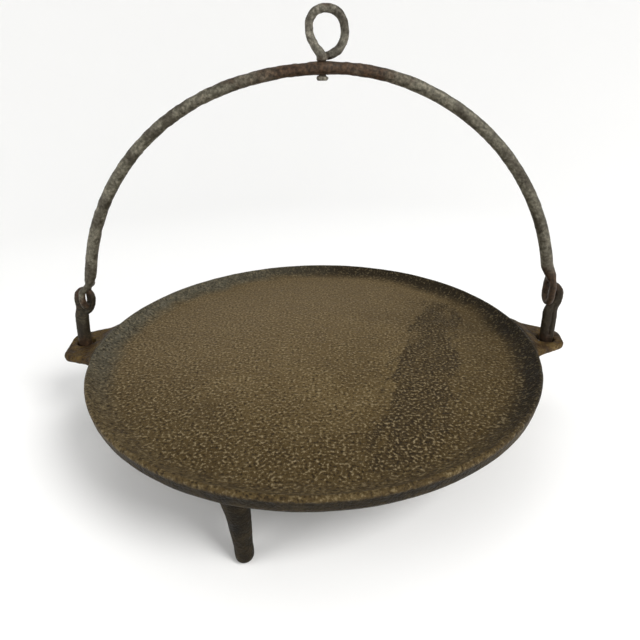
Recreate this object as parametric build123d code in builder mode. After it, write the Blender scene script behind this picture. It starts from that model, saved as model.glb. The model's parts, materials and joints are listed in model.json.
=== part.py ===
from build123d import *
import math
import os

os.makedirs("parts", exist_ok=True)

# A three-footed cast iron hanging griddle with a forged swing bail, two forged hanger
# links and a swivel ring.  Millimetres, +Z up, X runs through the two lugs, -Y is the front.
# The origin is on the floor, under the middle of the pan.

# ---- pan casting ----
pan_radius = 175.0          # outside of the rim
rim_height = 68.0           # top of the rim above the floor
pan_depth = 8.0             # rim top down to the cooking plate
plate_thickness = 5.5
lip_width = 4.0             # rim thickness, rounded over its top
cove_radius = 23.0          # soft inner curve between plate and rim
wall_draft = 0.8            # how far the outer wall comes in at its foot
base_corner = 6.0           # rounded lower outer edge

# ---- lugs, cast with the pan ----
hole_offset = 15.0          # hole centre out from the rim
hole_play = 2.2             # room in the hole each side of the wider hanger link
lug_corners = {             # each rounded corner: out from the rim, along Y, radius
    "left": ((19.9, 8.5, 10.8), (17.5, -16.5, 8.2)),
    "right": ((19.5, 8.6, 11.2), (19.6, -2.5, 9.3)),
}
lug_roots = {"left": (-29.5, 30.0), "right": (-22.0, 34.8)}   # along Y, where it leaves the rim
lug_root_round = 2.0
lug_thickness = 6.5
lug_drop = 3.75             # rim top down to the lug's upper face
lug_edge = 1.4

# ---- feet, cast with the pan ----
foot_azimuths = {"foot_front": -104.0, "foot_right": 16.0, "foot_back": 136.0}
foot_circle = 160.0         # radius of the foot tips
foot_tip_diameter = 11.0
foot_tip_height = 4.2       # straight part of the tip, its end rounded
foot_tip_round = 4.0
foot_waist_level = 0.53     # share of the foot's height at which the waist stands
foot_waist_width = 14.0
foot_waist_depth = 12.5
foot_waist_inset = 1.4      # the waist stands this much nearer the middle than the tip
foot_waist_shift = 1.5      # and this much to one side of it
foot_root_width = 21.0
foot_root_depth = 16.0
foot_root_inset = 4.0       # the root stands this much nearer the middle
foot_root_shift = 5.0       # and this much to one side of the tip

# ---- hanger links, forged ----
link_height = 49.7          # lug hole up to the middle of the link's top bend
link_reach = {"left": 9.7, "right": 7.6}      # how far the eye stands inward of the hole
link_bar_width = {"left": 10.6, "right": 8.2}
link_bar_thickness = 5.6
link_bar_edge = 2.2
link_bar_inset = {"left": 7.0, "right": 6.6}  # bar's top outward of the eye's middle
link_strand = 4.6           # bar drawn thin and rolled into the eye
link_eye_play = 0.8         # room in the link's eye each side of the bail's strand
link_eye_drop = 20.0        # top strand down to the bottom of the eye
head_gap = 2.6              # slack between the lug and the head below it
head_radius = 9.5
head_thickness = 4.0
head_edge = 1.5

# ---- bail ----
bail_rod = 8.0
bail_rise = 152.8           # pivot up to the rod's middle at the crown
crown_offset = 12.0         # the bow leans this far to the right
shoulder_out = 0.37         # share of the half span and share of the rise at which
shoulder_drop = {"left": 0.080, "right": 0.090}   # the crown bend meets the side bend
rod_end_inset = {"left": 8.0, "right": 2.6}   # rod's end nearer the middle than its eye
rod_end_height = 16.0       # pivot up to where the rod is drawn down into its eye
neck_radii = (4.0, 3.2, 2.6)
eye_rod = 5.0
pivot_gap = 1.0             # slack round the link's strand in the bail's eye
eye_drop = 14.0             # pivot down to the bottom strand of the bail's eye

# ---- swivel ring ----
ring_offset = 10.0          # the shank stands this far to the right of the middle
shank_radius = 2.5
swivel_gap = 0.35           # running slack round, above and below the boss
boss_wall = 3.6             # iron left round the punched hole
boss_height = 8.4
boss_round = 1.6            # edges of the swelling hammered over
collar_radius = 4.0
collar_height = 2.2
nub_radius = 4.2
nub_height = 3.0
nub_round = 1.6
ring_rod = 5.2
ring_width = 27.7           # outside
ring_height = 31.3          # from the boss to the ring's top
ring_lean = 2.8             # the ring's middle stands right of its shank
ring_neck_bend = 6.0        # the strand's reverse bend down into the shank
ring_tip = (1.0, 4.0)       # where the other strand closes, from the boss top
ring_tuck = 2.4             # and how far behind the shank its tip lies
ring_draw = 0.1             # the closing strand is drawn this much thinner
ring_weld = 0.8             # and starts this far inside the main strand

# ---- places worked out from the sizes above ----
plate_top = rim_height - pan_depth
pan_base = plate_top - plate_thickness
lip_base = rim_height - lip_width / 2
cove_rise = lip_base - plate_top
cove_start = pan_radius - lip_width - math.sqrt(2 * cove_radius * cove_rise - cove_rise**2)
lug_top = rim_height - lug_drop
lug_middle = lug_top - lug_thickness / 2
lug_root_radius = pan_radius - lip_width / 2
hole_x = pan_radius + hole_offset
hole_radius = max(link_bar_width.values()) / 2 + hole_play
pivot_z = lug_middle + link_height
crown_z = pivot_z + bail_rise
boss_top = crown_z + boss_height / 2
boss_radius = shank_radius + swivel_gap + boss_wall
eye_half = link_strand / 2 + pivot_gap + eye_rod / 2
link_eye_half = link_strand / 2 + link_eye_play + eye_rod / 2
sides = {"left": -1, "right": 1}


def put_out(piece, label):
    """Name a finished piece and write it as its own STEP file."""
    piece.part.label = label
    export_step(piece.part, f"parts/{label}.step")


# ================= pan with its two lugs =================
def make_lug(name):
    """A flat ear with rounded corners, its edges softened, its root buried in the rim."""
    with BuildPart() as lug:
        with BuildSketch(Plane.XY.offset(lug_top - lug_thickness)):
            with BuildSketch(mode=Mode.PRIVATE) as outline:
                for out, along, radius in lug_corners[name]:
                    with Locations((sides[name] * (pan_radius + out), along)):
                        Circle(radius)
                for along in lug_roots[name]:
                    with Locations((sides[name] * math.sqrt(lug_root_radius**2 - along**2), along)):
                        Circle(lug_root_round)
            make_hull(outline.sketch.edges())
        extrude(amount=lug_thickness)
        fillet(lug.faces().filter_by(Axis.Z).edges(), lug_edge)
        Cylinder(lug_root_radius, 3 * rim_height, mode=Mode.SUBTRACT)
    return lug.part


lugs = [make_lug(name) for name in sides]

with BuildPart() as griddle_pan:
    with BuildSketch(Plane.XZ):
        with BuildLine():
            plate = Line((0, plate_top), (cove_start, plate_top))
            cove = TangentArc(plate @ 1, (pan_radius - lip_width, lip_base), tangent=plate % 1)
            lip = ThreePointArc(cove @ 1, (pan_radius - lip_width / 2, rim_height), (pan_radius, lip_base))
            wall_foot = (pan_radius - wall_draft, pan_base + base_corner)
            wall = Line(lip @ 1, wall_foot)
            corner = TangentArc(wall @ 1, (wall_foot[0] - base_corner, pan_base), tangent=(0, -1))
            Polyline(corner @ 1, (0, pan_base), (0, plate_top))
        make_face()
    revolve(axis=Axis.Z)
    add(lugs)
    for side in sides.values():
        with Locations((side * hole_x, 0, lug_middle)):
            Cylinder(hole_radius, 3 * lug_thickness, mode=Mode.SUBTRACT)
put_out(griddle_pan, "griddle_pan")


# ================= three feet =================
def make_foot(azimuth):
    """A tapering foot under the pan, turned to its place on the foot circle."""
    spot = Plane(origin=(0, 0, 0), z_dir=(0, 0, 1)).rotated((0, 0, azimuth))
    with BuildPart() as foot:
        with BuildSketch(spot.offset(foot_tip_height)):
            with Locations((foot_circle, 0)):
                Circle(foot_tip_diameter / 2)
        with BuildSketch(spot.offset(foot_waist_level * pan_base)):
            with Locations((foot_circle - foot_waist_inset, -foot_waist_shift)):
                Ellipse(foot_waist_depth / 2, foot_waist_width / 2)
        with BuildSketch(spot.offset(pan_base)):
            with Locations((foot_circle - foot_root_inset, -foot_root_shift)):
                Ellipse(foot_root_depth / 2, foot_root_width / 2)
        loft()
        tip = foot.faces().sort_by(Axis.Z)[0]
        extrude(tip, amount=foot_tip_height)
        fillet(foot.faces().sort_by(Axis.Z)[0].edges(), foot_tip_round)
    return foot


for label, azimuth in foot_azimuths.items():
    put_out(make_foot(azimuth), label)


# ================= hanger links =================
def eye_x(name):
    """Where the link's eye and the bail's eye meet, measured along X."""
    return sides[name] * (hole_x - link_reach[name])


def make_link(name):
    """A bar through the lug hole, headed below, drawn out and rolled into an eye above."""
    side = sides[name]
    eye_base = pivot_z - link_eye_drop
    bar_top = Vector(eye_x(name) + side * link_bar_inset[name], 0, eye_base)
    hole = Vector(side * hole_x, 0, lug_middle)
    along = (bar_top - hole).normalized()
    bar_plane = Plane(origin=hole, x_dir=(along.Z, 0, -along.X), z_dir=along)
    head_top = -(lug_thickness / 2 + head_gap)
    with BuildPart() as link:
        with BuildSketch(bar_plane.offset(head_top - head_thickness / 2)):
            RectangleRounded(link_bar_width[name], link_bar_thickness, link_bar_edge)
        extrude(amount=(bar_top - hole).length - head_top + head_thickness / 2)
        with BuildSketch(bar_plane.offset(head_top - head_thickness)):
            Circle(head_radius)
        head = extrude(amount=head_thickness)
        fillet(head.edges().filter_by(GeomType.CIRCLE), head_edge)
        with BuildLine(Plane.XZ) as loop:
            left, right = eye_x(name) - link_eye_half, eye_x(name) + link_eye_half
            top, bottom = pivot_z - link_eye_half, eye_base + link_eye_half
            Line((left, bottom), (left, top))
            ThreePointArc((left, top), (eye_x(name), pivot_z), (right, top))
            Line((right, top), (right, bottom))
            ThreePointArc((right, bottom), (eye_x(name), eye_base), (left, bottom))
        with BuildSketch(Plane(origin=(left, 0, bottom), z_dir=(0, 0, 1))):
            Circle(link_strand / 2)
        sweep(path=loop.wires()[0])
    return link


for name in sides:
    put_out(make_link(name), f"hanger_link_{name}")


# ================= bail =================
def bow_points(name):
    """Crown, shoulder and rod end of one half of the bow, in the XZ plane."""
    end_x = eye_x(name) - sides[name] * rod_end_inset[name]
    end_z = pivot_z + rod_end_height
    shoulder_x = crown_offset + shoulder_out * (end_x - crown_offset)
    shoulder_z = crown_z - shoulder_drop[name] * (crown_z - end_z)
    return (crown_offset, crown_z), (shoulder_x, shoulder_z), (end_x, end_z)


with BuildPart() as boss:
    with BuildSketch(Plane.XY.offset(crown_z - boss_height / 2)):
        with Locations((ring_offset, 0)):
            Circle(boss_radius)
    extrude(amount=boss_height)
    fillet(boss.edges(), boss_round)

with BuildPart() as bail:
    for name, side in sides.items():
        crown, shoulder, rod_end = bow_points(name)
        with BuildLine(Plane.XZ) as bow:
            crown_bend = TangentArc(crown, shoulder, tangent=(side, 0))
            side_bend = TangentArc(crown_bend @ 1, rod_end, tangent=crown_bend % 1)
        with BuildSketch(Plane(origin=crown_bend @ 0, z_dir=crown_bend % 0)):
            Circle(bail_rod / 2)
        sweep(path=bow.wires()[0])

        with BuildLine(mode=Mode.PRIVATE) as neck:
            neck_end = (eye_x(name), 0, pivot_z + eye_half)
            neck_bend = TangentArc(side_bend @ 1, neck_end, tangent=side_bend % 1)
        for index, radius in enumerate(neck_radii):
            place = index / (len(neck_radii) - 1)
            with BuildSketch(Plane(origin=neck_bend @ place, z_dir=neck_bend % place)):
                Circle(radius)
        loft()

        with BuildLine(Plane.YZ.offset(eye_x(name))) as eye:
            low = pivot_z - eye_drop + eye_half
            Line((-eye_half, low), (-eye_half, pivot_z))
            ThreePointArc((-eye_half, pivot_z), (0, pivot_z + eye_half), (eye_half, pivot_z))
            Line((eye_half, pivot_z), (eye_half, low))
            ThreePointArc((eye_half, low), (0, low - eye_half), (-eye_half, low))
        with BuildSketch(Plane(origin=(eye_x(name), -eye_half, low), z_dir=(0, 0, 1))):
            Circle(eye_rod / 2)
        sweep(path=eye.wires()[0])

    add(boss)
    with Locations((ring_offset, 0, crown_z)):
        Cylinder(shank_radius + swivel_gap, 2 * boss_height, mode=Mode.SUBTRACT)
put_out(bail, "bail")


# ================= swivel ring =================
ring_half = (ring_width - ring_rod) / 2
ring_middle = ring_height - ring_rod / 2 - ring_half
neck_angle = math.acos((ring_lean + ring_neck_bend) / (ring_half + ring_neck_bend))
neck_start = ring_middle - (ring_half + ring_neck_bend) * math.sin(neck_angle)

with BuildPart() as swivel_ring:
    shank_plane = Plane.XZ.shift_origin((ring_offset, 0, boss_top))
    with BuildLine(shank_plane) as main_strand:
        turn = math.degrees(neck_angle)
        neck_arc = JernArc((0, neck_start), (0, 1), ring_neck_bend, turn)
        JernArc(neck_arc @ 1, neck_arc % 1, ring_half, -(180 + turn))
    with BuildSketch(Plane(origin=neck_arc @ 0, z_dir=(0, 0, 1))):
        Circle(ring_rod / 2)
    sweep(path=main_strand.wires()[0])
    tip_run = ring_lean + ring_half - ring_tip[0]
    closing_plane = Plane(
        origin=(ring_offset + ring_lean + ring_half, 0, boss_top + ring_middle),
        x_dir=(-tip_run, ring_tuck, 0),
        z_dir=(ring_tuck, tip_run, 0),
    )
    with BuildLine(closing_plane) as closing_strand:
        weld = Line((0, ring_weld), (0, 0))
        tip = (math.hypot(tip_run, ring_tuck), ring_tip[1] - ring_middle)
        TangentArc(weld @ 1, tip, tangent=weld % 1)
    with BuildSketch(Plane(origin=weld @ 0, z_dir=(0, 0, -1))):
        Circle(ring_rod / 2 - ring_draw)
    sweep(path=closing_strand.wires()[0])

    with BuildSketch(Plane.XY.offset(boss_top + swivel_gap)):
        with Locations((ring_offset, 0)):
            Circle(collar_radius)
    extrude(amount=collar_height)
    with BuildSketch(Plane.XY.offset(boss_top - boss_height - swivel_gap)):
        with Locations((ring_offset, 0)):
            Circle(shank_radius)
    extrude(amount=boss_height + 2 * swivel_gap + neck_start)
    with BuildSketch(Plane.XY.offset(boss_top - boss_height - swivel_gap - nub_height)):
        with Locations((ring_offset, 0)):
            Circle(nub_radius)
    nub = extrude(amount=nub_height)
    fillet(nub.edges().sort_by(Axis.Z)[0], nub_round)
put_out(swivel_ring, "swivel_ring")
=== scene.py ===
import bpy
import bmesh
import json
import math
from mathutils import Matrix, Vector, noise


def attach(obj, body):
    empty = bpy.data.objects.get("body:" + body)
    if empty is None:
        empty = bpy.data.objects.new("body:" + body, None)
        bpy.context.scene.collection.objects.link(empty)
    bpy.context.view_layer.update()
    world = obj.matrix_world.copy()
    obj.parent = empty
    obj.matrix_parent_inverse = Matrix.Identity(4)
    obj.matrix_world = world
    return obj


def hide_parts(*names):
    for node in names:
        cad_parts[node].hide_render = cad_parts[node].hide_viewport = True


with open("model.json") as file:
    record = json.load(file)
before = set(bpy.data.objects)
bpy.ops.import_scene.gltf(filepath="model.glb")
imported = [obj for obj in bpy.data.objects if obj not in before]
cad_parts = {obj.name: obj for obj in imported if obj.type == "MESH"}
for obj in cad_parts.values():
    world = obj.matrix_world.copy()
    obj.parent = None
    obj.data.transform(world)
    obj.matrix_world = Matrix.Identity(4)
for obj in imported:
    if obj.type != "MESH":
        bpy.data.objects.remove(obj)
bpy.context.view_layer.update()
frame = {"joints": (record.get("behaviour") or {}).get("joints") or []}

# A cast iron hearth griddle on three feet, hung by two forged links, a bail and a ring.
# Sizes in the dictionaries are millimetres; meshes are made in metres.

def mm(*values):
    return values[0] / 1000 if len(values) == 1 else Vector(values) / 1000


def joinPlace(name):  # where a joint turns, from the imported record
    return next(Vector(j["pos_m"]) for j in frame["joints"] if j["name"] == name)


def smoothStep(low, high, value):
    t = min(1, max(0, (value - low) / (high - low)))
    return t * t * (3 - 2 * t)


def mix(a, b, t):
    return a + (b - a) * t


cameraSet = {
    "place": (12.8, -350.4, 253.1), "down": 25.99, "turn": -1.22, "roll": -1.066,  # mm and degrees
    "lens": 27.0, "sensor": 36, "nearest": 10,
}
floorSet = {"flat": 800, "sweep": 1300, "rise": 60, "rings": 20, "steps": 96, "weld": 0.01, "colour": "FAF9F7"}
lightSet = {  # place, size and watts; each one looks at the pan
    "keySoftbox": ((1250, -900, 1500), 1000, 34),
    "fillSoftbox": ((-1500, -700, 1000), 1200, 10),
    "topSoftbox": ((-200, 700, 2100), 1500, 5),
}
roomSet = {"colour": "F4F6F8", "strength": 0.5, "lightAim": (0, 0, 90)}


def linearColour(hexText):
    parts = [int(hexText[i:i + 2], 16) / 255 for i in (0, 2, 4)]
    return [c / 12.92 if c <= 0.04045 else ((c + 0.055) / 1.055) ** 2.4 for c in parts] + [1.0]


def addNode(tree, kind, settings, out=0):
    # a value that is another node's output is linked, any other value is set
    node = tree.nodes.new("ShaderNode" + kind)
    for name, value in settings.items():
        if name == "stops":
            while len(node.color_ramp.elements) < len(value):
                node.color_ramp.elements.new(0.5)
            for element, (place, hexText) in zip(node.color_ramp.elements, value):
                element.position = place
                element.color = linearColour(hexText)
        elif isinstance(value, bpy.types.NodeSocket):
            tree.links.new(value, node.inputs[name])
        elif isinstance(name, str) and hasattr(node, name):
            setattr(node, name, value)
        else:
            node.inputs[name].default_value = value
    return node.outputs[out] if node.outputs else node


def newMaterial(name):
    material = bpy.data.materials.new(name)
    material.use_nodes = True
    material.node_tree.nodes.clear()
    return material, material.node_tree


def placeCamera():
    down, turn, roll = (math.radians(cameraSet[k]) for k in ("down", "turn", "roll"))
    ahead = Vector((math.sin(turn) * math.cos(down), math.cos(turn) * math.cos(down), -math.sin(down)))
    side = ahead.cross(Vector((0, 0, 1))).normalized()
    over = side.cross(ahead)
    right = side * math.cos(roll) + over * math.sin(roll)
    up = over * math.cos(roll) - side * math.sin(roll)
    data = bpy.data.cameras.new("viewCamera")
    data.lens = cameraSet["lens"]
    data.sensor_width = cameraSet["sensor"]
    data.clip_start = mm(cameraSet["nearest"])
    camera = bpy.data.objects.new("viewCamera", data)
    facing = Matrix((right, up, -ahead)).transposed().to_4x4()
    camera.matrix_world = Matrix.Translation(mm(*cameraSet["place"])) @ facing
    bpy.context.collection.objects.link(camera)
    bpy.context.scene.camera = camera


def spinLine(line, steps, apart):
    # a line of points in the XZ plane, turned once round the upright axis
    bm = bmesh.new()
    previous = bm.verts.new(line[0])
    for place in line[1:]:
        previous = bmesh.ops.extrude_vert_indiv(bm, verts=[previous])["verts"][0]
        previous.co = place
    bmesh.ops.spin(
        bm, geom=bm.verts[:] + bm.edges[:], cent=(0, 0, 0), axis=(0, 0, 1),
        angle=2 * math.pi, steps=steps, use_merge=True,
    )
    bmesh.ops.remove_doubles(bm, verts=bm.verts, dist=apart)
    bmesh.ops.recalc_face_normals(bm, faces=bm.faces)
    return bm


def makeFloor():
    s = floorSet
    line = [(0, 0, 0), (mm(s["flat"]), 0, 0)]
    for i in range(1, s["rings"] + 1):
        angle = math.radians(s["rise"]) * i / s["rings"]
        line.append((mm(s["flat"] + s["sweep"] * math.sin(angle)), 0, mm(s["sweep"] * (1 - math.cos(angle)))))
    bm = spinLine(line, s["steps"], mm(s["weld"]))
    mesh = bpy.data.meshes.new("floorBowl")
    bm.to_mesh(mesh)
    bm.free()
    mesh.polygons.foreach_set("use_smooth", [True] * len(mesh.polygons))
    floor = bpy.data.objects.new("floorBowl", mesh)
    bpy.context.collection.objects.link(floor)
    material, tree = newMaterial("matteStudioPaper")  # no shine, so the iron stays the darkest thing seen
    paper = {"Base Color": linearColour(floorSet["colour"]), "Roughness": 0.9, "Specular IOR Level": 0.1}
    addNode(tree, "OutputMaterial", {"Surface": addNode(tree, "BsdfPrincipled", paper)})
    mesh.materials.append(material)


def makeLights():
    for name, (place, size, watts) in lightSet.items():
        data = bpy.data.lights.new(name, "AREA")
        data.shape = "DISK"
        data.size = mm(size)
        data.energy = watts
        light = bpy.data.objects.new(name, data)
        light.location = mm(*place)
        light.rotation_mode = "QUATERNION"
        light.rotation_quaternion = (mm(*roomSet["lightAim"]) - light.location).to_track_quat("-Z", "Y")
        bpy.context.collection.objects.link(light)
    world = bpy.data.worlds.new("paleRoom")
    world.use_nodes = True
    background = world.node_tree.nodes["Background"].inputs
    background["Color"].default_value = linearColour(roomSet["colour"])
    background["Strength"].default_value = roomSet["strength"]
    bpy.context.scene.world = world
    bpy.context.scene.view_settings.view_transform = "Standard"


placeCamera()
makeFloor()
makeLights()
print("camera, floor and lights are in")


def blendPath(stations, step):
    # smooth line through the listed stations: each is (x, y, z, width, depth); a cardinal spline between them
    rows = [Vector(s) for s in stations]
    ends = [2 * rows[0] - rows[1]] + rows + [2 * rows[-1] - rows[-2]]
    made = []
    for a, b, c, d in zip(ends, ends[1:], ends[2:], ends[3:]):
        count = max(1, round(math.dist(b[:3], c[:3]) / step))
        for i in range(count):
            t = i / count
            bend, twist = 2 * a - 5 * b + 4 * c - d, 3 * b - a - 3 * c + d
            made.append(0.5 * ((2 * b) + (c - a) * t + bend * t ** 2 + twist * t ** 3))
    return made + [rows[-1]]


def drawStrand(bm, stations, deepWay=(0, 1, 0), sides=22, step=1.2, square=2.0, closed=False):
    # a bar of changing section through its stations: depth lies along deepWay, width square to it
    # square is 2 for an oval and more for a flatter hammered bar
    line = blendPath(stations, step)
    if closed:
        line.pop()
    rings = []
    for i, row in enumerate(line):
        before = line[i - 1] if i or closed else row
        after = line[(i + 1) % len(line)] if i + 1 < len(line) or closed else row
        along = (Vector(after[:3]) - Vector(before[:3])).normalized()
        deep = (Vector(deepWay) - along * along.dot(Vector(deepWay))).normalized()
        turn = Matrix((deep.cross(along) * row[3], deep * row[4], along)).transposed().to_4x4()
        ring = bmesh.ops.create_circle(bm, segments=sides, radius=mm(0.5))["verts"]
        for v in ring:
            around = math.atan2(v.co.y, v.co.x)
            v.co *= (abs(math.cos(around)) ** square + abs(math.sin(around)) ** square) ** (-1 / square)
        bmesh.ops.transform(bm, matrix=Matrix.Translation(mm(*row[:3])) @ turn, verts=ring)
        rings.append(ring)
    loops = [[e for e in {e for v in ring for e in v.link_edges}] for ring in rings]
    for i in range(len(rings) if closed else len(rings) - 1):
        bmesh.ops.bridge_loops(bm, edges=loops[i] + loops[(i + 1) % len(rings)])
    if not closed:
        for loop in (loops[0], loops[-1]):
            bmesh.ops.contextual_create(bm, geom=loop)
    bmesh.ops.recalc_face_normals(bm, faces=bm.faces)


def meshObject(bm, name):
    mesh = bpy.data.meshes.new(name)
    bm.to_mesh(mesh)
    bm.free()
    thing = bpy.data.objects.new(name, mesh)
    bpy.context.collection.objects.link(thing)
    return thing


def applyModifiers(thing):
    depsgraph = bpy.context.evaluated_depsgraph_get()
    done = bpy.data.meshes.new_from_object(thing.evaluated_get(depsgraph))
    thing.modifiers.clear()
    old = thing.data
    thing.data = done
    bpy.data.meshes.remove(old)


def relax(bm, verts, rounds):
    for i in range(rounds):
        bmesh.ops.smooth_vert(bm, verts=verts, factor=0.5, use_axis_x=True, use_axis_y=True, use_axis_z=True)


def weld(thing, voxel, rounds=2):
    # overlapping closed strands become one skin of even small faces
    remesh = thing.modifiers.new("weld", "REMESH")
    remesh.mode = "VOXEL"
    remesh.voxel_size = mm(voxel)
    applyModifiers(thing)
    bm = bmesh.new()
    bm.from_mesh(thing.data)
    relax(bm, bm.verts, rounds)
    bm.to_mesh(thing.data)
    bm.free()


def roundBar(name, radius, place, length, sides):
    bm = bmesh.new()
    bmesh.ops.create_cone(
        bm, cap_ends=True, segments=sides, radius1=mm(radius), radius2=mm(radius),
        depth=mm(length), matrix=Matrix.Translation(place),
    )
    return meshObject(bm, name)


def combine(thing, other, way):
    boolean = thing.modifiers.new("cut", "BOOLEAN")
    boolean.operation = way
    boolean.solver = "EXACT"
    boolean.object = other
    applyModifiers(thing)
    data = other.data
    bpy.data.objects.remove(other)
    bpy.data.meshes.remove(data)


def pushSurface(thing, depthAt):
    # moves each point along its normal by depthAt(point in mm, normal), also in mm
    bm = bmesh.new()
    bm.from_mesh(thing.data)
    bm.normal_update()
    moves = [v.normal * mm(depthAt(v.co * 1000, v.normal)) for v in bm.verts]
    for v, move in zip(bm.verts, moves):
        v.co += move
    bm.to_mesh(thing.data)
    bm.free()


def dents(point, size, seed):
    # flat-bottomed hammer marks: 0 on the ridges between blows, 1 in the middle of a mark
    near = noise.voronoi(point / size + Vector((seed, seed * 1.7, seed * 0.3)))[0]
    return smoothStep(0.0, 0.55, near[1] - near[0])


def finishPiece(thing, material, body, nodes):
    thing.data.materials.clear()
    thing.data.materials.append(material)
    thing.data.polygons.foreach_set("use_smooth", [True] * len(thing.data.polygons))
    thing.data.update()
    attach(thing, body)
    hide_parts(*nodes)
    print(thing.name, "is finished,", sum(len(p.vertices) - 2 for p in thing.data.polygons), "triangles")


castSet = {
    "pebble": 2.0, "speck": 1.2, "clouds": 34, "blotches": 9,  # mm, how far apart the marks repeat
    "streakMiddle": (87, -36), "streakTurn": 17.7, "streakEdge": 1, "streakCore": -10, "strokes": 7,
    "cove": (0.160, 0.177), "lugs": (0.1745, 0.1775), "wall": (0.1715, 0.1742),  # metres from the axis
    "wallTop": (0.0667, 0.0640), "below": (0.0590, 0.0572),  # metres above the floor
}
ironSet = {  # colours of the scale from its pits to its rubbed tops, and how far rust has spread over it
    "bail": {"scale": [(0.3, "3B382E"), (0.5, "5E5A4D"), (0.7, "7F7A6B")], "rust": 0.25, "dark": 0.2},
    "link": {"scale": [(0.3, "19160F"), (0.5, "2E291D"), (0.7, "474030")], "rust": 0.45, "dark": 0.6},
    "ring": {"scale": [(0.3, "38352B"), (0.5, "615D52"), (0.7, "8B8678")], "rust": 0.2, "dark": 0.0},
}


forgedMarks = ((14, 4), (2.2, 3), (0.9, 2))  # clouds, fine and grit: size in mm, detail
softMask = {"interpolation_type": "SMOOTHSTEP"}  # input 0 eased from place 1 to place 2, giving 3 to 4
colourMix = {"data_type": "RGBA"}  # share 0 of colour 7 laid over colour 6


def perMm(size):  # texture scale that repeats about every size mm
    return 1000 / size


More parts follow.
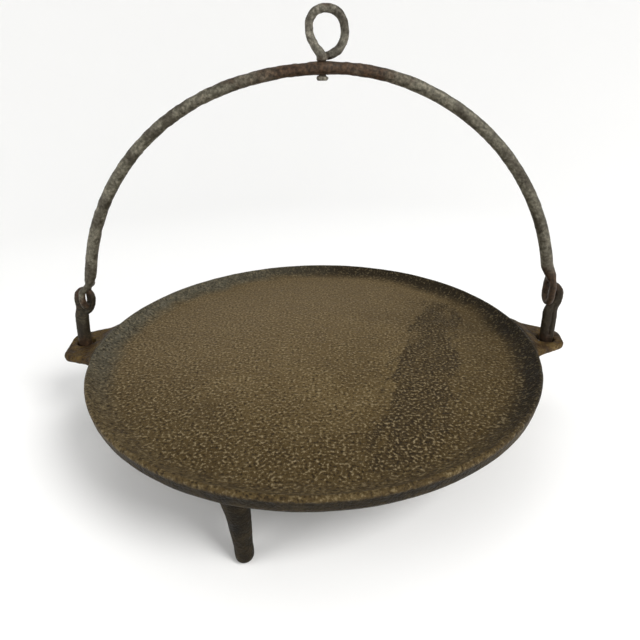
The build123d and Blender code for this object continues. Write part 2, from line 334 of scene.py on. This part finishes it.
def castIron():
    # Old grey iron cast in sand: a crisp pebbled skin under brown baked-on oil, wiped darker in one broad streak, with
    # painted shade darkening the right of the cove and the plate's front right, painted light greying the cove's left,
    # a painted sheen paling the plate's back left, rusty on the lugs, sooty below, and a painted reflection lightening
    # the wall's sides.
    material, tree = newMaterial("sandCastIron")
    s = castSet
    coords = addNode(tree, "TexCoord", {}, "Object")
    x = addNode(tree, "VectorMath", {"operation": "DOT_PRODUCT", 0: coords, 1: (1, 0, 0)}, "Value")
    z = addNode(tree, "VectorMath", {"operation": "DOT_PRODUCT", 0: coords, 1: (0, 0, 1)}, "Value")
    sideways = addNode(tree, "Math", {"operation": "ABSOLUTE", 0: x})
    flat = addNode(tree, "VectorMath", {"operation": "MULTIPLY", 0: coords, 1: (1, 1, 0)})
    radius = addNode(tree, "VectorMath", {"operation": "LENGTH", 0: flat}, "Value")
    clouds, blotches, grain, speck = (
        addNode(tree, "TexNoise", {"Scale": perMm(s[k]), "Detail": detail, "Roughness": rough, "Vector": coords})
        for k, detail, rough in (("clouds", 4, 0.6), ("blotches", 4, 0.65), ("pebble", 2, 0.55), ("speck", 1.5, 0.5))
    )

    # the oiled plate: brown, with painted shade making it darker near the rim to the front and right, and a painted
    # sheen making it paler to the back left
    brown = addNode(tree, "ValToRGB", {0: clouds, "stops": [(0.3, "493A1F"), (0.52, "564628"), (0.72, "645435")]})
    pale = addNode(tree, "ValToRGB", {0: blotches, "stops": [(0.3, "5A4A2F"), (0.7, "6B5B40")]})
    # painted sheen: the plate turns paler toward the back left
    sheenBackLeft = addNode(tree, "VectorMath", {"operation": "DOT_PRODUCT", 0: coords, 1: (-0.55, 1, 0)}, "Value")
    sheenBackLeft = addNode(tree, "MapRange", {**softMask, 0: sheenBackLeft, 1: -0.14, 2: 0.16})
    plate = addNode(tree, "Mix", {**colourMix, 0: sheenBackLeft, 6: brown, 7: pale}, 2)

    # painted shade: the plate turns darker near the rim to the front and right
    outer = addNode(tree, "MapRange", {**softMask, 0: radius, 1: 0.07, 2: 0.15, 4: 0.55})
    shadeRightFront = addNode(tree, "MapRange", {**softMask, 0: sheenBackLeft, 1: 0.75, 2: 0.1, 3: 0.25})
    outer = addNode(tree, "Math", {"operation": "MULTIPLY", 0: outer, 1: shadeRightFront})
    plate = addNode(tree, "Mix", {**colourMix, 0: outer, 6: plate, 7: linearColour("35280F")}, 2)

    # the wiped streak: a slanting bowed band of near-parallel dabs, soft along its edges
    slant = (0, 0, -math.radians(s["streakTurn"]))
    turned = {"vector_type": "TEXTURE", 1: mm(*s["streakMiddle"], 0), 2: slant, 0: coords}
    band = addNode(tree, "Mapping", turned)
    across = addNode(tree, "VectorMath", {"operation": "DOT_PRODUCT", 0: band, 1: (1, 0, 0)}, "Value")
    along = addNode(tree, "VectorMath", {"operation": "DOT_PRODUCT", 0: band, 1: (0, 1, 0)}, "Value")
    drawn = addNode(tree, "VectorMath", {"operation": "MULTIPLY", 0: band, 1: (1, 0.35, 1)})
    strokes = addNode(tree, "TexNoise", {"Scale": perMm(s["strokes"]), "Detail": 2, "Roughness": 0.6, "Vector": drawn})
    squared = addNode(tree, "Math", {"operation": "POWER", 0: along, 1: 2})
    across = addNode(tree, "Math", {"operation": "MULTIPLY_ADD", 0: squared, 1: 0.25, 2: across})
    apart = addNode(tree, "Math", {"operation": "ABSOLUTE", 0: across})
    apart = addNode(tree, "Math", {"operation": "MULTIPLY_ADD", 0: squared, 1: 0.5, 2: apart})
    apart = addNode(tree, "Math", {"operation": "MULTIPLY_ADD", 0: strokes, 1: -0.05, 2: apart})
    edges = {**softMask, 0: apart, 1: mm(s["streakEdge"]), 2: mm(s["streakCore"])}
    streak = addNode(tree, "MapRange", edges)
    broken = addNode(tree, "MapRange", {**softMask, 0: strokes, 1: 0.36, 2: 0.58, 3: 0.7, 4: 1.0})
    streak = addNode(tree, "Math", {"operation": "MULTIPLY", 0: streak, 1: broken})
    length = addNode(tree, "Math", {"operation": "ABSOLUTE", 0: along})
    length = addNode(tree, "MapRange", {**softMask, 0: length, 1: 0.132, 2: 0.114})
    streak = addNode(tree, "Math", {"operation": "MULTIPLY", 0: streak, 1: length})
    wiped = addNode(tree, "ValToRGB", {0: grain, "stops": [(0.35, "2E230F"), (0.55, "3D3019"), (0.72, "4B3E26")]})
    plate = addNode(tree, "Mix", {**colourMix, 0: streak, 6: plate, 7: wiped}, 2)

    # the cove and rim: oil at the front, painted shade darkening the right and back, painted light greying the left
    # painted shade darkens the right and back of the cove and rim; painted light greys its left
    shadedRimDark = addNode(tree, "ValToRGB", {0: blotches, "stops": [(0.3, "100B03"), (0.55, "181206"), (0.75, "272012")]})
    litRimGrey = addNode(tree, "ValToRGB", {0: blotches, "stops": [(0.3, "3A372C"), (0.6, "4E4B3F"), (0.8, "625F54")]})
    rimBrown = addNode(tree, "ValToRGB", {0: blotches, "stops": [(0.3, "3E3019"), (0.55, "524327"), (0.75, "66573A")]})
    litLeftward = addNode(tree, "VectorMath", {"operation": "DOT_PRODUCT", 0: coords, 1: (-1, 0.2, 0)}, "Value")
    litLeftward = addNode(tree, "Math", {"operation": "MULTIPLY_ADD", 0: clouds, 1: 0.12, 2: litLeftward})
    litLeftward = addNode(tree, "MapRange", {**softMask, 0: litLeftward, 1: 0.05, 2: 0.21})
    rim = addNode(tree, "Mix", {**colourMix, 0: litLeftward, 6: shadedRimDark, 7: litRimGrey}, 2)
    forward = addNode(tree, "VectorMath", {"operation": "DOT_PRODUCT", 0: coords, 1: (-0.2, -1, 0)}, "Value")
    forward = addNode(tree, "MapRange", {**softMask, 0: forward, 1: 0.05, 2: 0.14, 4: 0.85})
    rim = addNode(tree, "Mix", {**colourMix, 0: forward, 6: rim, 7: rimBrown}, 2)
    wavering = addNode(tree, "Math", {"operation": "MULTIPLY_ADD", 0: clouds, 1: 0.02, 2: radius})
    cove = addNode(tree, "MapRange", {**softMask, 0: wavering, 1: s["cove"][0], 2: s["cove"][1], 4: 0.94})
    base = addNode(tree, "Mix", {**colourMix, 0: cove, 6: plate, 7: rim}, 2)

    # pebbles: pale tops and dark pits, strongest at the front left
    frontLeft = addNode(tree, "VectorMath", {"operation": "DOT_PRODUCT", 0: coords, 1: (-0.5, -1, 0)}, "Value")
    strong = addNode(tree, "MapRange", {**softMask, 0: frontLeft, 1: -0.16, 2: 0.12, 3: 0.65})
    patchy = addNode(tree, "MapRange", {**softMask, 0: blotches, 1: 0.3, 2: 0.55, 3: 0.6})
    strong = addNode(tree, "Math", {"operation": "MULTIPLY", 0: strong, 1: patchy})
    tops = addNode(tree, "MapRange", {**softMask, 0: grain, 1: 0.53, 2: 0.66, 4: 0.7})
    tops = addNode(tree, "Math", {"operation": "MULTIPLY", 0: tops, 1: strong})
    oily = addNode(tree, "MapRange", {0: cove, 3: 1, 4: 0.45})
    tops = addNode(tree, "Math", {"operation": "MULTIPLY", 0: tops, 1: oily})
    pits = addNode(tree, "MapRange", {**softMask, 0: grain, 1: 0.47, 2: 0.35, 4: 0.85})
    pits = addNode(tree, "Math", {"operation": "MULTIPLY", 0: pits, 1: strong})
    topColour = addNode(tree, "ValToRGB", {0: speck, "stops": [(0.35, "7B6C4C"), (0.65, "A09071")]})
    pitColour = addNode(tree, "ValToRGB", {0: speck, "stops": [(0.35, "171006"), (0.65, "2B200F")]})
    base = addNode(tree, "Mix", {**colourMix, 0: tops, 6: base, 7: topColour}, 2)
    base = addNode(tree, "Mix", {**colourMix, 0: pits, 6: base, 7: pitColour}, 2)

    # the lugs: brown rust in blotches over dark iron
    rustStops = [(0.3, "241A0D"), (0.46, "3D2D18"), (0.6, "51401F"), (0.75, "695638")]
    rust = addNode(tree, "ValToRGB", {0: blotches, "stops": rustStops})
    rust = addNode(tree, "Mix", {**colourMix, 0: pits, 6: rust, 7: pitColour}, 2)
    lug = addNode(tree, "MapRange", {**softMask, 0: radius, 1: s["lugs"][0], 2: s["lugs"][1]})
    base = addNode(tree, "Mix", {**colourMix, 0: lug, 6: base, 7: rust}, 2)

    # outer wall, underside and feet: sooty iron and thin scale, with a painted reflection making the wall lighter and
    # browner toward each side
    sootDark = addNode(tree, "ValToRGB", {0: blotches, "stops": [(0.3, "110D06"), (0.5, "201A0F"), (0.72, "352D1F")]})
    # painted reflection: the wall turns lighter and browner toward each side
    reflectionBrown = addNode(tree, "ValToRGB", {0: blotches, "stops": [(0.3, "2B210C"), (0.5, "3C3019"), (0.72, "53452C")]})
    reflectionFlank = addNode(tree, "MapRange", {**softMask, 0: sideways, 1: 0.085, 2: 0.15})
    sootAndReflection = addNode(tree, "Mix", {**colourMix, 0: reflectionFlank, 6: sootDark, 7: reflectionBrown}, 2)
    outside = addNode(tree, "MapRange", {**softMask, 0: radius, 1: s["wall"][0], 2: s["wall"][1]})
    lower = addNode(tree, "MapRange", {**softMask, 0: z, 1: s["wallTop"][0], 2: s["wallTop"][1]})
    below = addNode(tree, "MapRange", {**softMask, 0: z, 1: s["below"][0], 2: s["below"][1]})
    outside = addNode(tree, "Math", {"operation": "MULTIPLY", 0: outside, 1: lower})
    outside = addNode(tree, "Math", {"operation": "MAXIMUM", 0: outside, 1: below})
    clear = addNode(tree, "Math", {"operation": "SUBTRACT", 0: 1, 1: lug})
    outside = addNode(tree, "Math", {"operation": "MULTIPLY", 0: outside, 1: clear})
    base = addNode(tree, "Mix", {**colourMix, 0: outside, 6: base, 7: sootAndReflection}, 2)

    roughness = addNode(tree, "MapRange", {0: blotches, 1: 0.3, 2: 0.7, 3: 0.52, 4: 0.72})
    height = addNode(tree, "Math", {"operation": "MULTIPLY_ADD", 0: speck, 1: 0.4, 2: grain})
    height = addNode(tree, "Math", {"operation": "MULTIPLY", 0: height, 1: strong})
    bump = addNode(tree, "Bump", {"Strength": 0.9, "Distance": mm(1.5), "Height": height})
    iron = {"Metallic": 0.1, "Specular IOR Level": 0.12, "Base Color": base, "Roughness": roughness, "Normal": bump}
    addNode(tree, "OutputMaterial", {"Surface": addNode(tree, "BsdfPrincipled", iron)})
    return material


def wroughtIron(name, looks, rustPlaces):
    # Hammered wrought iron: dull grey-olive scale, blacker in its hollows, brown rust where water sits.
    material, tree = newMaterial(name)
    coords = addNode(tree, "TexCoord", {}, "Object")
    clouds, fine, grit = (
        addNode(tree, "TexNoise", {"Scale": perMm(size), "Detail": detail, "Roughness": 0.6, "Vector": coords})
        for size, detail in forgedMarks
    )
    base = addNode(tree, "ValToRGB", {0: fine, "stops": looks["scale"]})
    black = addNode(tree, "ValToRGB", {0: grit, "stops": [(0.3, "171108"), (0.7, "291F13")]})
    hollow = addNode(tree, "MapRange", {**softMask, 0: clouds, 1: 0.54, 2: 0.4, 4: 0.6})
    base = addNode(tree, "Mix", {**colourMix, 0: hollow, 6: base, 7: black}, 2)
    rustStops = [(0.28, "20170F"), (0.45, "34261A"), (0.62, "493424"), (0.8, "62492F")]
    rust = addNode(tree, "ValToRGB", {0: fine, "stops": rustStops})
    rusty = addNode(tree, "MapRange", {**softMask, 0: clouds, 1: 0.54, 2: 0.7, 4: looks["rust"]})
    for place, reach in rustPlaces:
        apart = addNode(tree, "VectorMath", {"operation": "DISTANCE", 0: coords, 1: place}, "Value")
        apart = addNode(tree, "Math", {"operation": "MULTIPLY_ADD", 0: clouds, 1: mm(reach), 2: apart})
        near = {**softMask, 0: apart, 1: mm(reach) * 1.5, 2: mm(reach) * 0.85, 4: 0.9}
        rusty = addNode(tree, "Math", {"operation": "MAXIMUM", 0: rusty, 1: addNode(tree, "MapRange", near)})
    base = addNode(tree, "Mix", {**colourMix, 0: rusty, 6: base, 7: rust}, 2)
    rightward = addNode(tree, "VectorMath", {"operation": "DOT_PRODUCT", 0: coords, 1: (1, 0, 0)}, "Value")
    shade = addNode(tree, "MapRange", {**softMask, 0: rightward, 1: 0.10, 2: 0.18, 4: looks["dark"]})
    base = addNode(tree, "Mix", {**colourMix, 0: shade, 6: base, 7: black}, 2)
    roughness = addNode(tree, "MapRange", {0: fine, 1: 0.3, 2: 0.75, 3: 0.42, 4: 0.66})
    height = addNode(tree, "Math", {"operation": "MULTIPLY_ADD", 0: grit, 1: 0.5, 2: fine})
    bump = addNode(tree, "Bump", {"Strength": 0.6, "Distance": mm(0.55), "Height": height})
    iron = {"Metallic": 0.25, "Specular IOR Level": 0.22, "Base Color": base, "Roughness": roughness, "Normal": bump}
    addNode(tree, "OutputMaterial", {"Surface": addNode(tree, "BsdfPrincipled", iron)})
    return material


pivot = joinPlace("bail_swing") * 1000
crownTop = joinPlace("ring_swivel") * 1000
eyeX = {"left": pivot.x, "right": 182.4}
sideOf = {"left": -1, "right": 1}
crown = Vector((12, 0, crownTop.z - 4.2))  # top of the bow
boss = Vector((crownTop.x, 0, crown.z))
castIronMaterial = castIron()
rustSet = {  # middle and reach of each rusty place
    "bail": [(mm(*boss), 72), (mm(eyeX["left"], -4, 103), 9), (mm(eyeX["right"], -4, 107), 30)],
    "link": [(mm(x, 0, z), 12) for x in (-191, -183, 190, 188) for z in (60, 112)],
    "ring": [(mm(10, 0, 264), 9), (mm(13, 0, 301), 7)],
}
bailIron = wroughtIron("forgedBailIron", ironSet["bail"], rustSet["bail"])
linkIron = wroughtIron("forgedLinkIron", ironSet["link"], rustSet["link"])
ringIron = wroughtIron("forgedRingIron", ironSet["ring"], rustSet["ring"])


panSet = {
    "rim": 174.62, "rimTop": 68, "lipRadius": 2.0, "coveRadius": 23, "plateTop": 60, "underside": 54.5,
    "corner": 6, "draft": 0.8, "steps": 320, "ringStep": 4.2, "sag": 0.28, "lipWander": 0.22, "weld": 0.001,
}
lugSet = {
    # rounded corners seen from above: out from the middle, along Y, radius
    "left": [(194.8, 8.5, 10.6), (192.5, -16.5, 8.0), (170.5, -29.5, 2), (170.4, 30, 2)],
    "right": [(194.4, 8.6, 11.0), (194.4, -2.5, 9.1), (171.6, -22, 2), (169.5, 34.8, 2)],
    "top": 64.25, "thick": 6.5, "edge": 1.5, "holeX": 190.3, "holeRadius": 7.0, "buried": 172.9,
    "flareFrom": 183, "flareTo": 174.5, "flareUp": 2.4, "flareDown": 1.4, "punch": 20, "voxel": 0.75,
}


def arcPoints(x, z, radius, start, end, count):
    angles = [math.radians(mix(start, end, i / count)) for i in range(count + 1)]
    return [(x + radius * math.cos(a), z + radius * math.sin(a)) for a in angles]


def runPoints(a, b, step):
    count = max(1, round(math.dist(a, b) / step))
    return [(mix(a[0], b[0], i / count), mix(a[1], b[1], i / count)) for i in range(count + 1)]


def panProfile():
    s = panSet
    lipX, lipZ = s["rim"] - s["lipRadius"], s["rimTop"] - s["lipRadius"]
    coveZ = s["plateTop"] + s["coveRadius"]
    reach = s["coveRadius"] + s["lipRadius"]
    coveX = lipX - math.sqrt(reach ** 2 - (coveZ - lipZ) ** 2)
    lean = math.degrees(math.atan2(coveZ - lipZ, coveX - lipX))
    foot = (s["rim"] - s["draft"], s["underside"] + s["corner"])
    points = runPoints((0, s["plateTop"]), (coveX, s["plateTop"]), s["ringStep"])
    points += arcPoints(coveX, coveZ, s["coveRadius"], -90, lean - 180, 9)[1:]
    points += arcPoints(lipX, lipZ, s["lipRadius"], lean, 0, 9)[1:]
    points += runPoints((s["rim"], lipZ), foot, 1.6)[1:]
    points += arcPoints(foot[0] - s["corner"], foot[1], s["corner"], 0, -90, 7)[1:]
    points += runPoints((foot[0] - s["corner"], s["underside"]), (0, s["underside"]), s["ringStep"])[1:]
    return points


def makeLug(name):
    s, side = lugSet, sideOf[name]
    bm = bmesh.new()
    low, high = s["top"] - s["thick"], s["top"]
    for z, shrink in ((low, s["edge"]), (low + s["edge"], 0), (high - s["edge"], 0), (high, s["edge"])):
        for x, y, r in s[name]:
            place = Matrix.Translation(mm(side * x, y, z))
            bmesh.ops.create_circle(bm, segments=64, radius=mm(r - shrink), matrix=place)
    bmesh.ops.delete(bm, geom=bm.edges[:], context="EDGES_FACES")
    bmesh.ops.convex_hull(bm, input=bm.verts)
    bmesh.ops.delete(bm, geom=[v for v in bm.verts if not v.link_faces], context="VERTS")
    bmesh.ops.recalc_face_normals(bm, faces=bm.faces)
    lug = meshObject(bm, "lugBlank")
    for radius, x, segments in ((s["buried"], 0, 256), (s["holeRadius"], side * s["holeX"], 64)):
        punch = roundBar("punch", radius, mm(x, 0, (low + high) / 2), s["punch"], segments)
        combine(lug, punch, "DIFFERENCE")
    weld(lug, s["voxel"], 3)

    def flare(point, normal):
        away = math.hypot(point.x, point.y)
        rise = smoothStep(s["flareFrom"], s["flareTo"], away)
        rough = 0.55 * noise.noise(point / 7.5) + 0.3 * noise.noise(point / 2.6 + Vector((3, 1, side)))
        reflectionFlank = s["flareUp"] if normal.z > 0.4 else s["flareDown"] if normal.z < -0.4 else 0
        return rough * 0.55 - 0.15 + rise * reflectionFlank

    pushSurface(lug, flare)
    return lug


def makePan():
    line = [mm(r, 0, z) for r, z in panProfile()]
    pan = meshObject(spinLine(line, panSet["steps"], mm(panSet["weld"])), "griddlePan")

    def unevenCasting(point, normal):
        away = math.hypot(point.x, point.y)
        broad = noise.noise(Vector((point.x, point.y, 0)) / 46)
        middle = noise.noise(Vector((point.x, point.y, point.z * 0.4)) / 15 + Vector((5, 2, 1)))
        rim = smoothStep(160, 172, away)
        small = noise.noise(point / 5.2 + Vector((1, 7, 3)))
        return mix(panSet["sag"] * broad + 0.12 * middle, panSet["lipWander"] * middle + 0.10 * small, rim)

    pushSurface(pan, unevenCasting)
    for name in sideOf:
        combine(pan, makeLug(name), "UNION")
    # the seam between lug and wall is filed smooth
    bm = bmesh.new()
    bm.from_mesh(pan.data)
    bmesh.ops.remove_doubles(bm, verts=bm.verts, dist=mm(0.02))
    seam = [v for v in bm.verts if abs(v.co.x) > mm(168) and mm(173.2) < v.co.xy.length < mm(178.5)]
    relax(bm, seam, 5)
    bmesh.ops.triangulate(bm, faces=[f for f in bm.faces if len(f.verts) > 4])
    bm.to_mesh(pan.data)
    bm.free()
    return pan


finishPiece(makePan(), castIronMaterial, "griddle", ["griddle_pan"])


footSet = {
    "azimuths": {"foot_front": -104, "foot_right": 16, "foot_back": 136}, "circle": 160,
    # height, inward, sideways, width, depth
    "sections": [
        (0.15, 0, 0, 4.5, 4.5), (0.5, 0, 0, 7.6, 7.6), (1.8, 0, 0, 10.0, 9.8), (4.5, 0, -0.1, 11.3, 10.8),
        (14, 0.5, -0.5, 11.9, 11.2), (29, 1.4, -1.5, 14.2, 12.6), (42, 2.6, -3.2, 17.4, 14.2),
        (49, 3.6, -4.6, 20.4, 16.2), (52.5, 4.0, -5.0, 23.5, 19.0), (54.6, 4.0, -5.0, 28.5, 24.0),
        (55.6, 4.0, -5.0, 31, 27),
    ],
    "name": {"foot_front": "footFront", "foot_right": "footRight", "foot_back": "footBack"},
}


def makeFoot(node):
    bm = bmesh.new()
    stations = [
        (footSet["circle"] - inward, sideways, z, depth, width)
        for z, inward, sideways, width, depth in footSet["sections"]
    ]
    drawStrand(bm, stations, sides=40, step=1.0)
    turn = Matrix.Rotation(math.radians(footSet["azimuths"][node]), 3, "Z")
    bmesh.ops.rotate(bm, verts=bm.verts, cent=(0, 0, 0), matrix=turn)
    foot = meshObject(bm, footSet["name"][node])

    def castSkin(point, normal):
        broad = noise.noise(point / 11)
        small = noise.noise(point / 3.4 + Vector((2, 5, 8)))
        return (0.35 * broad + 0.16 * small) * smoothStep(0, 3, point.z) - 0.05

    pushSurface(foot, castSkin)
    return foot


for footNode in footSet["azimuths"]:
    finishPiece(makeFoot(footNode), castIronMaterial, "griddle", [footNode])


linkSet = {
    "voxel": 0.42, "dentSize": 5.0, "dent": 0.28,
    # x, y, z, width, depth: from under the head, up the bar and round the rolled eye
    "left": [
        (-191.6, 0, 53.0, 6.0, 5.8), (-191.6, 0, 53.4, 10.0, 9.6), (-191.5, 0, 54.5, 14.4, 14.0),
        (-191.4, 0, 55.5, 15.4, 15.0), (-191.4, 0, 56.1, 13.8, 12.6), (-191.3, 0, 56.8, 11.0, 7.4),
        (-191.2, 0, 61, 10.3, 6.2), (-190.4, 0, 72, 10.5, 6.0), (-189.3, 0, 82, 10.4, 5.8),
        (-188.2, 0, 89, 10.3, 5.6), (-187.8, 0, 93.2, 8.4, 5.4), (-187.7, 0, 97.5, 6.4, 5.3),
        (-187.6, 0, 103.4, 6.2, 5.2), (-186.2, 0, 108.2, 5.4, 5.3), (-182.4, 0, 110.9, 4.8, 5.3),
        (-178.3, 0, 109.4, 4.4, 5.2), (-176.3, 0, 105.0, 4.2, 5.0), (-176.8, 0, 99.4, 3.2, 4.8),
        (-179.2, 0, 94.8, 3.6, 4.8), (-182.4, 0.2, 92.1, 4.4, 4.6), (-185.6, 0.3, 90.6, 4.4, 4.4),
    ],
    "right": [
        (190.4, 0, 53.2, 6.0, 5.8), (190.4, 0, 53.6, 10.0, 9.6), (190.4, 0, 54.6, 14.2, 13.8),
        (190.4, 0, 55.6, 15.2, 14.8), (190.4, 0, 56.1, 13.4, 12.4), (190.6, 0, 56.8, 9.4, 7.2),
        (190.8, 0, 61, 9.6, 6.2), (190.7, 0, 67, 10.6, 6.0), (190.2, 0, 75, 11.0, 5.9),
        (189.8, 0, 83, 11.0, 5.8), (189.4, 0, 88.5, 10.8, 5.7), (190.3, 0, 92, 9.8, 5.6),
        (192.0, 0, 95.8, 8.2, 5.5), (193.0, 0, 99.6, 7.4, 5.4), (193.1, 0, 104.2, 6.6, 5.3),
        (191.3, 0, 108.6, 5.8, 5.3), (187.8, 0, 110.9, 4.8, 5.3), (185.4, 0, 111.1, 3.8, 4.8),
        (183.9, 0, 110.8, 2.4, 3.2),
    ],
}


def makeLink(name):
    bm = bmesh.new()
    drawStrand(bm, linkSet[name], sides=24, square=2.7)
    link = meshObject(bm, "hangerLink" + name.capitalize())
    weld(link, linkSet["voxel"])

    def hammered(point, normal):
        mark = dents(Vector((point.x, point.y, point.z * 0.75)), linkSet["dentSize"], 2.0 + sideOf[name])
        pitted = noise.noise(point / 1.6 + Vector((4, 4, sideOf[name])))
        push = 0.10 - linkSet["dent"] * mark * (0.6 if name == "left" else 1.0) + 0.10 * pitted
        if name == "right" and normal.y < -0.3 and 68 < point.z < 96:  # fold line down the front of the bar
            middle = mix(191.0, 190.4, (point.z - 68) / 28) + 0.5 * noise.noise(Vector((0, 0, point.z / 4)))
            push -= 0.65 * max(0, 1 - abs(point.x - middle) / 1.3)
        return push

    pushSurface(link, hammered)
    return link


for sideName in sideOf:
    finishPiece(makeLink(sideName), linkIron, "link_" + sideName, ["hanger_link_" + sideName])


bailSet = {
    "voxel": 0.58, "shoulderOut": 0.37, "shoulderDrop": {"left": 0.080, "right": 0.090},
    "endInset": {"left": 8.0, "right": 2.6}, "endHeight": 16.0,
    "rodWidth": {"left": 8.6, "right": 8.5}, "crownWidth": 7.5, "midWidth": 7.8, "dentSize": 9.0, "dent": 0.34,
    "eyeBottom": 96.7, "eyeHalf": 5.7, "eyeDepth": 4.7, "eyeShift": {"left": -1.1, "right": 2.6},
    "eyeLean": {"left": 6.4, "right": -0.3},
    "eyeWidth": {"left": (5.2, 5.6), "right": (4.6, 6.6)},  # at its foot and head
    "bossHalf": 6.2, "bossHeight": 8.2, "bossLength": 9.5, "hole": 2.95, "drift": 24,
}


def tangentArc(start, way, end, count):
    # points of the arc that leaves start along way and reaches end, all in the bail's own plane
    chord = end - start
    spin = 1 if way.x * chord.y - way.y * chord.x > 0 else -1
    side = Vector((-way.y, way.x)) * spin
    radius = chord.length_squared / (2 * chord.dot(side))
    middle = start + side * radius
    turn = 2 * chord.angle(way) * spin
    points = [middle + Matrix.Rotation(turn * i / count, 2) @ (start - middle) for i in range(count + 1)]
    return points, Matrix.Rotation(turn, 2) @ way


def bowStations(name):
    s, side = bailSet, sideOf[name]
    start = Vector((crown.x, crown.z))
    end = Vector((eyeX[name] - side * s["endInset"][name], pivot.z + s["endHeight"]))
    drop = s["shoulderDrop"][name] * (start.y - end.y)
    shoulder = Vector((mix(start.x, end.x, s["shoulderOut"]), start.y - drop))
    first, way = tangentArc(start, Vector((side, 0)), shoulder, 14)
    second, way = tangentArc(shoulder, way, end, 30)
    points = first + second[1:]
    stations = []
    for i, p in enumerate(points):
        share = i / (len(points) - 1)
        width = mix(s["crownWidth"], s["midWidth"], smoothStep(0, 0.4, share))
        width += (s["rodWidth"][name] - s["midWidth"]) * smoothStep(0.45, 1, share)
        swell = smoothStep(s["bossLength"], 2.5, abs(p.x - boss.x))
        high, deep = mix(width, s["bossHeight"], swell), mix(width, 2 * s["bossHalf"], swell)
        stations.append((p.x, 0, p.y, high, deep))
    x = eyeX[name] + s["eyeShift"][name] + s["eyeLean"][name]
    stations += [
        (mix(end.x, x, 0.42), -0.3, pivot.z + 12.2, s["rodWidth"][name] * 0.96, 8.0),
        (mix(end.x, x, 0.80), -0.8, pivot.z + 8.4, 7.4, 8.8),
        (x, -1.0, pivot.z + 5.6, 6.4, 9.0),
    ]
    return stations


def makeBail():
    s = bailSet
    bm = bmesh.new()
    left, right = bowStations("left"), bowStations("right")
    drawStrand(bm, left[::-1] + right[1:], sides=24, step=2.4)
    for name in sideOf:  # each end is drawn out and closed round the link's strand
        x = eyeX[name] + s["eyeShift"][name]
        half, top, low = s["eyeHalf"], pivot.z + 0.3, s["eyeBottom"] + s["eyeHalf"]
        rows = [(-half, mix(top, low, t)) for t in (0, 0.5, 1)]
        rows += arcPoints(0, low, half, -135, -45, 2)
        rows += [(half, mix(low, top, t)) for t in (0, 0.5, 1)]
        rows += arcPoints(0, top, half, 45, 135, 2)
        foot, head = s["eyeWidth"][name]
        rows = [
            (x + s["eyeLean"][name] * smoothStep(109, 117, z), y, z,
             mix(foot, head, smoothStep(96, 104, z)), s["eyeDepth"])
            for y, z in rows
        ]
        rows.append(rows[0])
        drawStrand(bm, rows, (1, 0, 0), sides=20, closed=True)
    bmesh.ops.recalc_face_normals(bm, faces=bm.faces)
    bail = meshObject(bm, "bail")
    weld(bail, s["voxel"])
    combine(bail, roundBar("drift", s["hole"], mm(*boss), s["drift"], 48), "DIFFERENCE")

    def hammered(point, normal):
        away = abs(point.x - boss.x)
        nearEye = smoothStep(122, 112, point.z)
        work = mix(1.0, 0.45, smoothStep(0, 120, point.x))  # the left half shows the hammer more
        mark = dents(point, s["dentSize"], 6.0)
        pitted = noise.noise(point / 2.2 + Vector((9, 3, 1)))
        broad = noise.noise(point / 19 + Vector((1, 6, 2)))
        free = smoothStep(4.5, 8, away)
        blows = free * (1 - 0.8 * nearEye) * (0.16 - s["dent"] * work * mark + 0.16 * broad)
        return blows + 0.09 * pitted * (1 - 0.5 * nearEye) * free

    pushSurface(bail, hammered)
    return bail


finishPiece(makeBail(), bailIron, "bail", ["bail"])


ringSet = {
    "voxel": 0.36, "dentSize": 5.5, "dent": 0.22,
    "strand": [
        (10, 0, 256.1, 5.4, 5.2), (10, 0, 256.5, 7.0, 6.8), (9.9, 0, 257.6, 8.2, 8.0),
        (9.9, 0, 258.6, 7.4, 7.2), (10, 0, 259.0, 4.7, 4.7), (10, 0, 262, 4.6, 4.6),
        (10, 0, 267.6, 4.7, 4.7), (9.9, -0.2, 268.3, 7.6, 7.0), (9.6, -0.5, 269.7, 7.0, 6.4),
        (8.7, -0.9, 271.9, 6.0, 5.8), (5.9, -1.0, 275.2, 5.5, 5.4), (3.1, -0.7, 279.9, 5.3, 5.3),
        (1.9, -0.3, 284.4, 5.2, 5.2), (2.2, 0, 289.6, 5.3, 5.2), (4.7, 0, 293.7, 5.2, 5.2),
        (8.3, 0, 295.8, 5.1, 5.2), (12.9, 0, 296.3, 5.1, 5.2), (17.4, 0, 295.4, 5.2, 5.2),
        (21.4, 0, 292.6, 5.3, 5.2), (23.6, 0, 288.6, 5.3, 5.2), (24.4, 0.2, 283.2, 5.3, 5.2),
        (23.3, 0.8, 278.2, 5.4, 5.2), (20.8, 1.5, 274.2, 5.6, 5.2), (17.2, 2.3, 271.9, 5.6, 4.8),
        (13.4, 3.1, 270.6, 5.0, 4.4), (9.6, 3.8, 270.3, 4.0, 3.8), (6.4, 3.9, 270.1, 2.4, 2.4),
    ],
}


def makeRing():
    bm = bmesh.new()
    drawStrand(bm, ringSet["strand"], step=0.9)
    ring = meshObject(bm, "swivelRing")
    weld(ring, ringSet["voxel"])

    def hammered(point, normal):
        free = smoothStep(268.5, 271, point.z)
        mark = dents(point, ringSet["dentSize"], 11.0)
        return free * (0.12 - ringSet["dent"] * mark) + 0.07 * noise.noise(point / 1.7) * free

    pushSurface(ring, hammered)
    return ring


finishPiece(makeRing(), ringIron, "ring", ["swivel_ring"])
